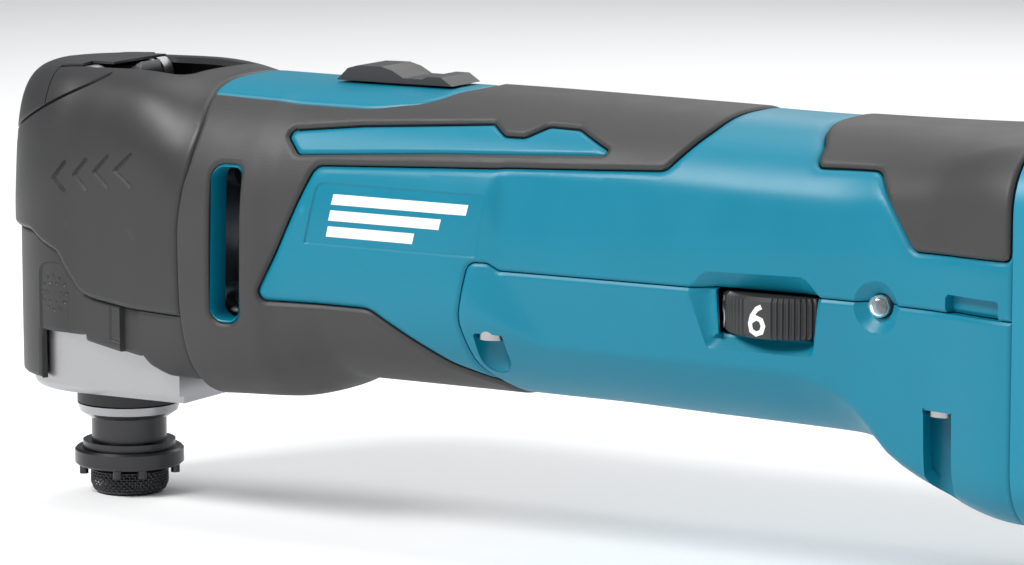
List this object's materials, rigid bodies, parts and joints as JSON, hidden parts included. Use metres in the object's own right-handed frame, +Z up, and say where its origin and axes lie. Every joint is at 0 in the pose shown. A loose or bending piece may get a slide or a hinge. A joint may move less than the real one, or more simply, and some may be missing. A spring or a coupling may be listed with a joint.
{
  "type": "oscillating multi-tool",
  "caption": "Battery-powered oscillating multi-tool with a clamp lever, a studded accessory seat, a slide switch, a speed dial and a slide-on battery.",
  "frame": {"origin": "centre of the accessory seat on the spindle axis", "axes": "+Z up along the spindle away from the work, +X to the rear towards the battery, -Y towards the speed dial side"},
  "size_m": [0.3416, 0.08, 0.108],
  "materials": {
    "body_plastic": "semi-gloss moulded",
    "trim_plastic": "fine matt moulded",
    "grip_rubber": "matt overmould",
    "cast_aluminium": "bead-blasted casting",
    "blackened_steel": "turned and blackened",
    "bright_steel": "ground",
    "spring_steel": "plain",
    "bearing_steel": "polished",
    "seal_rubber": "smooth",
    "copper_winding": "enamelled",
    "brass_contact": "plain",
    "magnet": "sintered",
    "carbon": "sintered",
    "inner_plastic": "moulded",
    "pale_plastic": "moulded",
    "circuit_board": "varnished board",
    "potting": "potted",
    "clear_lens": "polished",
    "cell_wrap": "shrink wrap",
    "pack_plastic": "fine matt moulded",
    "release_plastic": "moulded",
    "lead_insulation": "PVC"
  },
  "bodies": {
    "housing": {"bearing_box": "cast_aluminium", "battery_mount": "body_plastic", "lever_pin": "bright_steel", "gear_housing": "cast_aluminium", "lower_spindle_bearing": "bearing_steel", "upper_spindle_bearing": "bearing_steel", "bearing_retainer": "bright_steel", "spindle_seal": "seal_rubber", "head_cover": "trim_plastic", "front_shroud": "trim_plastic", "head_screws": "bright_steel", "motor_bracket": "cast_aluminium", "front_motor_bearing": "bearing_steel", "rear_motor_bearing": "bearing_steel", "field_can": "blackened_steel", "field_magnets": "magnet", "motor_end_bracket": "inner_plastic", "brush_holders": "brass_contact", "carbon_brushes": "carbon", "brush_springs": "spring_steel", "baffle_ring": "inner_plastic", "upper_housing": "body_plastic", "front_grip": "grip_rubber", "rear_grip": "grip_rubber", "switch_plate": "body_plastic", "switch_unit": "inner_plastic", "controller": "potting", "dial_board": "circuit_board", "indicator_lens": "clear_lens", "lower_cover": "body_plastic", "cover_screws": "bright_steel", "lamp_lens": "clear_lens", "lamp_board": "circuit_board", "terminal_block": "inner_plastic", "terminal_blades": "brass_contact", "lead_wires": "lead_insulation"},
    "spindle": {"spindle": "blackened_steel", "swing_fork": "bright_steel", "clamp_jaws": "bright_steel", "spindle_collar": "bright_steel"},
    "holder_bolt": {"holder_bolt": "blackened_steel"},
    "clamp_rod": {"clamp_rod": "bright_steel", "clamp_spring": "spring_steel"},
    "clamp_lever": {"clamp_lever": "trim_plastic", "lever_cam": "bright_steel"},
    "rotor": {"armature": "copper_winding", "commutator": "brass_contact", "cooling_fan": "pale_plastic", "crank": "bright_steel", "crank_bearing": "bearing_steel"},
    "slide_switch": {"switch_knob": "trim_plastic", "switch_rod": "inner_plastic"},
    "dial": {"dial": "trim_plastic"},
    "battery": {"pack_front_case": "pack_plastic", "pack_rear_case": "pack_plastic", "pack_cells": "cell_wrap", "pack_terminals": "brass_contact"},
    "battery_button": {"pack_button": "release_plastic", "pack_button_spring": "spring_steel"}
  },
  "joints": [
    {"name": "spindle_swing", "type": "hinge", "parent": "housing", "child": "spindle", "pos_m": [0, 0, 0], "axis": [0, 0, 1], "range_deg": [-1.6, 1.6]},
    {"name": "bolt_pull", "type": "slide", "parent": "spindle", "child": "holder_bolt", "axis": [0, 0, -1], "range_m": [0, 0.045]},
    {"name": "lever_swing", "type": "hinge", "parent": "housing", "child": "clamp_lever", "pos_m": [0, 0, 0.094], "axis": [0, 1, 0], "range_deg": [0, 120]},
    {"name": "clamp_rod_slide", "type": "slide", "parent": "housing", "child": "clamp_rod", "axis": [0, 0, -1], "range_m": [0, 0.003], "deforming": ["clamp_spring"]},
    {"name": "motor_spin", "type": "hinge", "parent": "housing", "child": "rotor", "pos_m": [0, 0, 0.0615], "axis": [1, 0, 0], "continuous": true},
    {"name": "switch_slide", "type": "slide", "parent": "housing", "child": "slide_switch", "axis": [-1, 0, 0], "range_m": [0, 0.007]},
    {"name": "dial_turn", "type": "hinge", "parent": "housing", "child": "dial", "pos_m": [0.1887, -0.0173, 0.0548], "axis": [0, 0, 1], "range_deg": [0, 250]},
    {"name": "battery_slide", "type": "slide", "parent": "housing", "child": "battery", "axis": [0, 0, -1], "range_m": [0, 0.075]},
    {"name": "button_press", "type": "slide", "parent": "battery", "child": "battery_button", "axis": [1, 0, 0], "range_m": [0, 0.003], "stiffness_N_per_m": 800, "springref_m": -0.002, "deforming": ["pack_button_spring"]}
  ],
  "couplings": [
    {"joint": "lever_swing", "follows": "clamp_rod_slide", "rad_per_m": 698.13}
  ]
}
